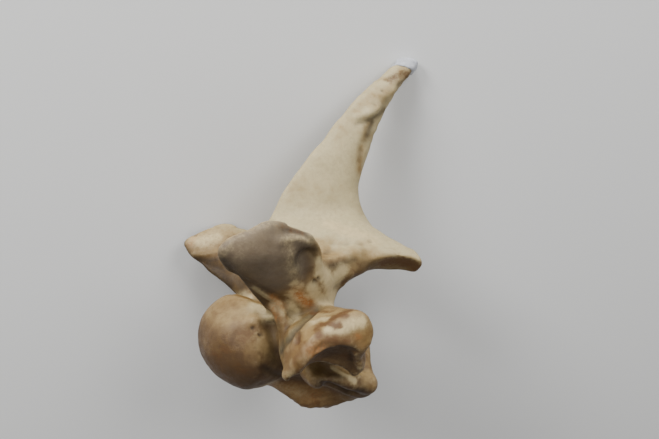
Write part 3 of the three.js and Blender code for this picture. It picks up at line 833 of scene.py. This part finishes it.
points, quads = mesh_form(bone_distance, LATTICE_LOW, LATTICE_HIGH, MESH_STEP)
normals = vertex_normals(points, quads)
outward = normals[:, 1] * np.sign(points[:, 1])
folded = points.copy()
folded[:, 1] = np.abs(folded[:, 1])

height = np.zeros(len(points))
for amount, near in drawn(folded, SMALL_FORMS):
    height += amount * near
hole_lines = [(depth, radius, [(x, y), (x + HOLE_LENGTH, y)]) for x, y, radius, depth in HOLES]
# The holes are painted dark inside, as shade.
hole = np.zeros(len(points))
for depth, near in drawn(folded, hole_lines):
    height -= depth * near
    hole = np.maximum(hole, min(depth, FULL_DARK) * near)

rough = np.maximum.reduce([
    ramp(points[:, 2], *TIP_ROUGH_ABOVE),
    ramp(-points[:, 2], *CREST_ROUGH_BELOW),
    ramp(folded[:, 1], *SIDE_ROUGH_BEYOND) * ramp(-points[:, 2], *SIDE_ROUGH_BELOW),
    ramp(points[:, 0] + REAR_EDGE_LEAN * points[:, 2], *REAR_EDGE_ROUGH_BEYOND)
    * ramp(points[:, 2], *REAR_EDGE_ROUGH_ABOVE),
])
height += WAVE_HEIGHT * ripple(points, WAVE_LENGTH, seed=1)
height += DIMPLE_HEIGHT * ripple(points, DIMPLE_LENGTH, seed=2)
height += (GRAIN_HEIGHT + ROUGH_HEIGHT * rough) * ripple(points, GRAIN_LENGTH, seed=3)
height *= 1 - ramp(above_cap_edge(points), *CAP_FADE)
points = points + height[:, None] * normals
normals = vertex_normals(points, quads)

# ---- what the materials read: measures of the surface, stains, painted shade and painted light ----

RELIEF_ROUNDS = 12                       # of smoothing, which the relief is measured against
HOLLOW_ROUNDS = 3
CLOSE_REACH, WIDE_REACH = 3.0, 9.0       # mm outwards, where the free distance is measured

# Where the tone changes: ranges in mm, or in shares of the normal where a side faces up or down.
SPINE_LEAN, SPINE_ABOVE = 0.25, (18, 40)
FACES_DOWN, UNDERSIDE_BELOW = (-0.1, 0.9), (-30, 10)
FACES_UP = (0.2, 0.9)
HIGH_SPINE_ABOVE = (62, 100)
HEAD_BEFORE, HEAD_BELOW = (20, 30), (-2, 8)
CREST_BELOW, CREST_WITHIN = (26, 34), (-22, -8)

# Tones, from 0 for the palest bone to 1 for the darkest, and what each place adds.
BASE_TONE = 0.62
SPINE_TONE = -0.62
# Sides facing down are painted darker, as painted shade over the bone's own darker underside; sides
# facing up are painted paler, as painted light.
UNDERSIDE_SHADE_TONE = 0.45
TOP_LIGHT_TONE = -0.2
HIGH_SPINE_TONE = 0.12
HEAD_TONE = 0.3
CREST_TONE = -0.3

# The grey outer side of the cranial processes.
GREY_FACES_OUT = (-0.1, 0.5)
GREY_BEYOND = (31, 37)
GREY_LEAN, GREY_ABOVE = -0.5, (16, 24)
GREY_BEFORE = (4, 12)

# Shade is painted dark into closed-in hollows and grooves, and raised edges are made paler: ranges
# and strengths.
SHADED_HOLLOW, HOLLOW_SHADE = (0.55, 0.95), 0.5
SHADED_GROOVE, GROOVE_SHADE = (0.06, 0.3), 0.5
PALE_RIDGE, RIDGE_PALENESS = (0.08, 0.3), 0.3


def free_share(reach):
    """How much of the way outwards is free, up to the reach: less in hollows."""
    return np.clip(bone_distance(points + reach * normals) / reach, 0, 1)


relief = ((points - smooth_over(points, quads, RELIEF_ROUNDS)) * normals).sum(1)
shut = 1 - (free_share(CLOSE_REACH) + free_share(WIDE_REACH)) / 2
hollow = smooth_over(shut, quads, HOLLOW_ROUNDS)
x, y, z = points.T

tone = BASE_TONE + SPINE_TONE * ramp(z + SPINE_LEAN * x, *SPINE_ABOVE)
# Painted shade on sides facing down, and painted light on sides facing up.
tone += UNDERSIDE_SHADE_TONE * ramp(-normals[:, 2], *FACES_DOWN) * ramp(-z, *UNDERSIDE_BELOW)
tone += TOP_LIGHT_TONE * ramp(normals[:, 2], *FACES_UP)
tone += HIGH_SPINE_TONE * ramp(z, *HIGH_SPINE_ABOVE)
tone += HEAD_TONE * ramp(-x, *HEAD_BEFORE) * ramp(-z, *HEAD_BELOW)
tone += CREST_TONE * ramp(-z, *CREST_BELOW) * ramp(-np.abs(y), *CREST_WITHIN)
grey = ramp(outward, *GREY_FACES_OUT) * ramp(folded[:, 1], *GREY_BEYOND)
grey *= ramp(z + GREY_LEAN * x, *GREY_ABOVE) * ramp(-x, *GREY_BEFORE)
# The dark mask is painted shade: the dark strokes, the insides of holes, and closed-in hollows and
# grooves.
dark = np.maximum(painted(folded, DARK), hole)
dark = np.maximum(dark, ramp(hollow, *SHADED_HOLLOW) * HOLLOW_SHADE)
dark = np.maximum(dark, ramp(-relief, *SHADED_GROOVE) * GROOVE_SHADE)
# The pale mask: pale bone and painted light from the pale strokes, and paler raised edges.
pale = np.maximum(painted(folded, PALE), ramp(relief, *PALE_RIDGE) * RIDGE_PALENESS)
masks = {
    "tone": tone,
    "grey": grey,
    "rust": painted(folded, RUST),
    "blotch": painted(folded, BLOTCH),
    "ochre": painted(folded, OCHRE),
    "olive": painted(folded, OLIVE),
    "dark": dark,
    "pale": pale,
}

# ---- chalky repair over the tip of the spine ----

CAP_THICKNESS = 0.45
CAP_LOW = np.array((42.0, -8.0, 101.0))
CAP_HIGH = np.array((66.0, 8.0, 114.0))
CAP_STEP = 0.5
CAP_EDGE_WAVES, CAP_EDGE_WAVELENGTH = 0.3, 5
CAP_EDGE_ROUND = 0.8
CAP_LUMPS, CAP_LUMP_LENGTH = 0.08, 2.2


def cap_distance(p):
    edge = CAP_EDGE_WAVES * ripple(p, CAP_EDGE_WAVELENGTH, seed=7) - above_cap_edge(p)
    return soft_max(bone_distance(p) - CAP_THICKNESS, edge, CAP_EDGE_ROUND)


cap_points, cap_quads = mesh_form(cap_distance, CAP_LOW, CAP_HIGH, CAP_STEP)
cap_normals = vertex_normals(cap_points, cap_quads)
lumps = CAP_LUMPS * ripple(cap_points, CAP_LUMP_LENGTH, seed=8)
cap_points = cap_points + lumps[:, None] * cap_normals

# ---- laying the bone down ----

up = unit(UP_WHEN_LYING)
tailward = unit(np.array((1.0, 0, 0)) - up[0] * up)
LAY = np.array((tailward, np.cross(up, tailward), up))


def to_row(p):
    return (np.asarray(p, float) @ LAY.T + BONE_ORIGIN) * MM


def add_mesh(name, p, faces, attributes):
    """A smooth piece that rides on the part's body and stays above the floor."""
    row = to_row(p)
    row[:, 2] = np.maximum(row[:, 2], 0.0)
    mesh = bpy.data.meshes.new(name)
    mesh.from_pydata(row.tolist(), [], faces.tolist())
    mesh.update()
    mesh.polygons.foreach_set("use_smooth", [True] * len(mesh.polygons))
    for key, values in attributes.items():
        kind, field = ("FLOAT_VECTOR", "vector") if values.ndim == 2 else ("FLOAT", "value")
        layer = mesh.attributes.new(key, kind, "POINT")
        layer.data.foreach_set(field, values.astype(np.float32).ravel())
    piece = bpy.data.objects.new(name, mesh)
    bpy.context.collection.objects.link(piece)
    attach(piece, "root")
    return piece


skin = add_mesh("bone_skin", points, quads, {"anatomy": points, **masks})
BONE_NODES = [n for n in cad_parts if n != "spinous_tip_cap"]
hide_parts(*BONE_NODES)
cap = add_mesh("tip_cap", cap_points, cap_quads, {"anatomy": cap_points})
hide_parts("spinous_tip_cap")


# ---- materials ----

class Nodes:
    """Short names for building a node tree."""

    def __init__(self, name):
        self.material = bpy.data.materials.new(name)
        self.material.use_nodes = True
        self.tree = self.material.node_tree
        self.shader = self.tree.nodes["Principled BSDF"]

    def add(self, kind, inputs=(), **settings):
        made = self.tree.nodes.new(kind)
        for key, value in settings.items():
            setattr(made, key, value)
        for key, value in dict(inputs).items():
            self.put(made.inputs[key], value)
        return made

    def put(self, socket, value):
        if isinstance(value, bpy.types.NodeSocket):
            self.tree.links.new(value, socket)
        else:
            socket.default_value = value

    def read(self, name, output="Fac"):
        return self.add("ShaderNodeAttribute", attribute_name=name).outputs[output]

    def noise(self, place, scale, detail, roughness, distortion=0.0):
        return self.add("ShaderNodeTexNoise", {
            "Vector": place, "Scale": scale, "Detail": detail, "Roughness": roughness,
            "Distortion": distortion}).outputs["Fac"]

    def math(self, operation, a, b, c=0.0, clamp=False):
        made = self.add("ShaderNodeMath", {0: a, 1: b, 2: c}, operation=operation, use_clamp=clamp)
        return made.outputs[0]

    def sway(self, value, noise, amount, clamp=False):
        """The value, moved up and down by a noise."""
        swing = self.math("SUBTRACT", noise, 0.5)
        return self.math("MULTIPLY_ADD", swing, amount, value, clamp)

    def spread(self, value, low, high, out_low=0.0, out_high=1.0):
        """A smooth step from out_low at low to out_high at high."""
        return self.add("ShaderNodeMapRange", {
            "Value": value, "From Min": low, "From Max": high,
            "To Min": out_low, "To Max": out_high,
        }, interpolation_type="SMOOTHSTEP").outputs["Result"]

    def mix(self, share, a, b, blend="MIX"):
        made = self.add("ShaderNodeMix", data_type="RGBA", blend_type=blend)
        self.put(made.inputs["Factor"], share)
        self.put(made.inputs[6], a)
        self.put(made.inputs[7], b)
        return made.outputs[2]

    def ramp(self, value, stops):
        made = self.add("ShaderNodeValToRGB", {"Fac": value})
        elements = made.color_ramp.elements
        while len(elements) < len(stops):
            elements.new(0.5)
        for element, (position, colour) in zip(elements, stops):
            element.position = position
            element.color = colour + (1,)
        return made.outputs["Color"]

    def bump(self, height, strength, distance_m):
        made = self.add("ShaderNodeBump", {
            "Height": height, "Strength": strength, "Distance": distance_m})
        self.put(self.shader.inputs["Normal"], made.outputs["Normal"])


BONE_TONES = [
    (0.0, (0.48, 0.4, 0.22)),
    (0.35, (0.32, 0.22, 0.09)),
    (0.7, (0.175, 0.105, 0.039)),
    (1.0, (0.09, 0.048, 0.018)),
]
GREY_TONES = [
    (0.0, (0.085, 0.062, 0.044)),
    (0.5, (0.145, 0.112, 0.077)),
    (1.0, (0.25, 0.2, 0.125)),
]
CHALK_TONES = [
    (0.0, (0.12, 0.13, 0.15)),
    (0.35, (0.32, 0.33, 0.36)),
    (0.6, (0.46, 0.47, 0.5)),
    (1.0, (0.6, 0.6, 0.61)),
]
OCHRE_BROWN = (0.23, 0.13, 0.032, 1)
RUST_BROWN = (0.4, 0.14, 0.025, 1)
BLOTCH_BROWN = (0.115, 0.053, 0.016, 1)
SPECK_BROWN = (0.13, 0.075, 0.035, 1)
OLIVE_BROWN = (0.14, 0.115, 0.06, 1)
# The colour of painted shade.
SHADE_BROWN = (0.022, 0.013, 0.007, 1)
# The colour of pale bone and painted light.
PALE_AND_LIT = (0.56, 0.445, 0.235, 1)

# Noises in the bone's own axes: repeats per mm, detail, roughness and distortion.
BROAD_NOISE = (0.07, 4, 0.6, 0.4)
MIDDLE_NOISE = (0.3, 5, 0.6, 0.3)
STREAKY_NOISE = (0.55, 5, 0.65, 0.5)
FINE_NOISE = (1.6, 4, 0.6)
GRAIN_NOISE = (5.0, 2, 0.5)
BLOTCH_NOISE = (0.16, 4, 0.65, 0.6)
SPECK_NOISE = (1.1, 3, 0.7)
CLOUD_NOISE = (0.5, 4, 0.6)
POWDER_NOISE = (3.0, 4, 0.6)

# How far each noise moves a tone, or the edge of a stain or of pale bone and painted light.
BROAD_SWAY = 0.9
MIDDLE_SWAY = 0.4
STREAKY_SWAY = 0.5
PALE_SWAY = 0.7
BLOTCH_SWAY = 1.1
GREY_MIDDLE, GREY_BROAD, GREY_SHIFT = 0.7, 0.9, -0.3

# From one value to another of what is read, and the result at each end.
LOOSE_BLOTCHES = (0.5, 0.66)
BLOTCHED_TONES = (0.2, 0.6, 0.0, 0.6)
GREY_PATCHES = (0.3, 0.65, 0.98, 0.75)
OCHRE_PATCHES = (0.3, 0.6, 0.6, 1.0)
OLIVE_PATCHES = (0.3, 0.6, 0.55, 1.0)
RUST_PATCHES = (0.35, 0.6, 0.35, 1.0)
SHADE_PATCHES = (0.2, 0.6, 1.0, 0.85)
PALE_SHARE = (0.15, 0.85, 0.0, 0.95)
BLOTCH_SHARE = (0.28, 0.85, 0.0, 0.95)
SPECKS = (0.68, 0.78)
SPECK_STRENGTH = 0.45
WHITE = (1.0, 1.0, 1.0)
GRAIN_SHADE = [(0.3, (0.9, 0.9, 0.9)), (0.7, WHITE)]
STREAK_SHADE = [(0.3, (0.84, 0.82, 0.8)), (0.6, WHITE)]

# The surface, with bumps as strength and distance in metres.
BONE_ROUGHNESS = (0.3, 0.7, 0.45, 0.64)
SHADE_ROUGHER = 0.2
BONE_SPECULAR = 0.38
FINE_BUMP, GRAIN_BUMP = 0.6, 0.4
BONE_BUMP = (0.45, 0.0005)
CLOUD_SHARE, POWDER_SHARE = 0.7, 0.45
CHALK_ROUGHNESS = (0.3, 0.7, 0.7, 0.9)
CHALK_BUMP = (0.4, 0.0003)

bone = Nodes("dry_bone")
place = bone.read("anatomy", "Vector")
broad = bone.noise(place, *BROAD_NOISE)
middle = bone.noise(place, *MIDDLE_NOISE)
streaky = bone.noise(place, *STREAKY_NOISE)
fine = bone.noise(place, *FINE_NOISE)
grain = bone.noise(place, *GRAIN_NOISE)


def patchy_layer(colour, mask, noise, patches, top_colour):
    """The colour under a stain or painted shade that the noise makes patchy."""
    share = bone.math("MULTIPLY", bone.read(mask), bone.spread(noise, *patches))
    return bone.mix(share, colour, top_colour)


def ragged(colour, mask, sway, shares, top_colour):
    """The colour under a stain, or under pale bone and painted light, whose edge is crisp and
    uneven.
    """
    share = bone.sway(bone.read(mask), streaky, sway)
    return bone.mix(bone.spread(share, *shares), colour, top_colour)


toned = bone.sway(bone.read("tone"), broad, BROAD_SWAY)
toned = bone.sway(toned, middle, MIDDLE_SWAY)
toned = bone.sway(toned, streaky, STREAKY_SWAY, clamp=True)
colour = bone.ramp(toned, BONE_TONES)
blotches = bone.spread(bone.noise(place, *BLOTCH_NOISE), *LOOSE_BLOTCHES)
blotches = bone.math("MULTIPLY", blotches, bone.spread(toned, *BLOTCHED_TONES))
colour = bone.mix(blotches, colour, BLOTCH_BROWN)
mottled = bone.math("MULTIPLY_ADD", broad, GREY_BROAD, GREY_SHIFT)
mottled = bone.ramp(bone.math("MULTIPLY_ADD", middle, GREY_MIDDLE, mottled), GREY_TONES)
colour = patchy_layer(colour, "grey", broad, GREY_PATCHES, mottled)
colour = patchy_layer(colour, "ochre", middle, OCHRE_PATCHES, OCHRE_BROWN)
colour = patchy_layer(colour, "olive", middle, OLIVE_PATCHES, OLIVE_BROWN)
# Pale bone and painted light over the colour, from the pale mask.
colour = ragged(colour, "pale", PALE_SWAY, PALE_SHARE, PALE_AND_LIT)
colour = patchy_layer(colour, "rust", fine, RUST_PATCHES, RUST_BROWN)
# Painted shade over the colour, from the dark mask.
colour = patchy_layer(colour, "dark", fine, SHADE_PATCHES, SHADE_BROWN)
colour = ragged(colour, "blotch", BLOTCH_SWAY, BLOTCH_SHARE, BLOTCH_BROWN)
specks = bone.spread(bone.noise(place, *SPECK_NOISE), *SPECKS)
colour = bone.mix(bone.math("MULTIPLY", specks, SPECK_STRENGTH), colour, SPECK_BROWN)
colour = bone.mix(1.0, colour, bone.ramp(grain, GRAIN_SHADE), "MULTIPLY")
colour = bone.mix(1.0, colour, bone.ramp(streaky, STREAK_SHADE), "MULTIPLY")
bone.put(bone.shader.inputs["Base Color"], colour)
dullness = bone.spread(middle, *BONE_ROUGHNESS)
dullness = bone.math("MULTIPLY_ADD", bone.read("dark"), SHADE_ROUGHER, dullness, clamp=True)
bone.put(bone.shader.inputs["Roughness"], dullness)
bone.shader.inputs["Specular IOR Level"].default_value = BONE_SPECULAR
unevenness = bone.math("MULTIPLY", grain, GRAIN_BUMP)
bone.bump(bone.math("MULTIPLY_ADD", fine, FINE_BUMP, unevenness), *BONE_BUMP)
skin.data.materials.append(bone.material)

chalk = Nodes("chalky_repair")
place = chalk.read("anatomy", "Vector")
cloud = chalk.noise(place, *CLOUD_NOISE)
powder = chalk.noise(place, *POWDER_NOISE)
clouded = chalk.math("MULTIPLY", powder, POWDER_SHARE)
clouded = chalk.math("MULTIPLY_ADD", cloud, CLOUD_SHARE, clouded)
chalk.put(chalk.shader.inputs["Base Color"], chalk.ramp(clouded, CHALK_TONES))
chalk.put(chalk.shader.inputs["Roughness"], chalk.spread(powder, *CHALK_ROUGHNESS))
chalk.bump(powder, *CHALK_BUMP)
cap.data.materials.append(chalk.material)

# ---- camera ----

CLIP_START = 0.01                        # metres


def to_world(v):
    """A direction in the bone's own axes as a direction in the room."""
    return LAY @ v


def place_object(thing, right, top, back, where):
    """Turns and moves an object by the world directions of its own axes."""
    basis = np.eye(4)
    basis[:3, 0] = right
    basis[:3, 1] = top
    basis[:3, 2] = back
    basis[:3, 3] = where
    thing.matrix_world = Matrix(basis.tolist())


camera_data = bpy.data.cameras.new("camera")
camera_data.sensor_width = SENSOR
camera_data.lens = SENSOR * focal_pixels / FRAME_WIDTH
camera_data.clip_start = CLIP_START
camera = bpy.data.objects.new("camera", camera_data)
bpy.context.collection.objects.link(camera)
place_object(
    camera, to_world(rightward), to_world(upward), to_world(to_camera), to_row(camera_place))
bpy.context.scene.camera = camera

# ---- floor and light ----

HALF_FLOOR = 3.0                         # metres
FLOOR_COLOUR = (0.72, 0.72, 0.71, 1)
FLOOR_ROUGHNESS = 0.9
LIGHT_DISTANCE = 0.9                     # metres from the middle of the floor
LIGHTS = [                               # name, direction as seen by the camera, size m, power W
    ("top_light", (-0.05, 0.85, 0.5), 0.3, 7.5),
    ("front_light", (0.15, -0.5, 0.85), 0.6, 1.7),
    ("left_light", (-0.6, 0.45, 0.7), 0.3, 7),
    ("right_light", (0.6, 0.4, 0.7), 0.4, 4),
]
WORLD_COLOUR = (1, 1, 1, 1)
WORLD_STRENGTH = 0.14

floor_mesh = bpy.data.meshes.new("floor")
floor_corners = [
    (sx * HALF_FLOOR, sy * HALF_FLOOR, 0) for sx, sy in ((-1, -1), (1, -1), (1, 1), (-1, 1))]
floor_mesh.from_pydata(floor_corners, [], [(0, 1, 2, 3)])
floor = bpy.data.objects.new("floor", floor_mesh)
bpy.context.collection.objects.link(floor)
floor_material = bpy.data.materials.new("pale_floor")
floor_material.use_nodes = True
floor_shader = floor_material.node_tree.nodes["Principled BSDF"]
floor_shader.inputs["Base Color"].default_value = FLOOR_COLOUR
floor_shader.inputs["Roughness"].default_value = FLOOR_ROUGHNESS
floor_mesh.materials.append(floor_material)


def add_light(name, direction, size, power):
    """A square soft light; its direction is to the camera's right, up and towards the camera."""
    data = bpy.data.lights.new(name, "AREA")
    data.size = size
    data.energy = power
    light = bpy.data.objects.new(name, data)
    bpy.context.collection.objects.link(light)
    right, above, near = direction
    d = unit(to_world(right * rightward + above * upward + near * to_camera))
    side = unit(np.cross(ALONG_Z, d))
    place_object(light, side, np.cross(d, side), d, d * LIGHT_DISTANCE)


for light_row in LIGHTS:
    add_light(*light_row)

world = bpy.data.worlds.new("studio")
world.use_nodes = True
background = world.node_tree.nodes["Background"]
background.inputs["Color"].default_value = WORLD_COLOUR
background.inputs["Strength"].default_value = WORLD_STRENGTH
bpy.context.scene.world = world
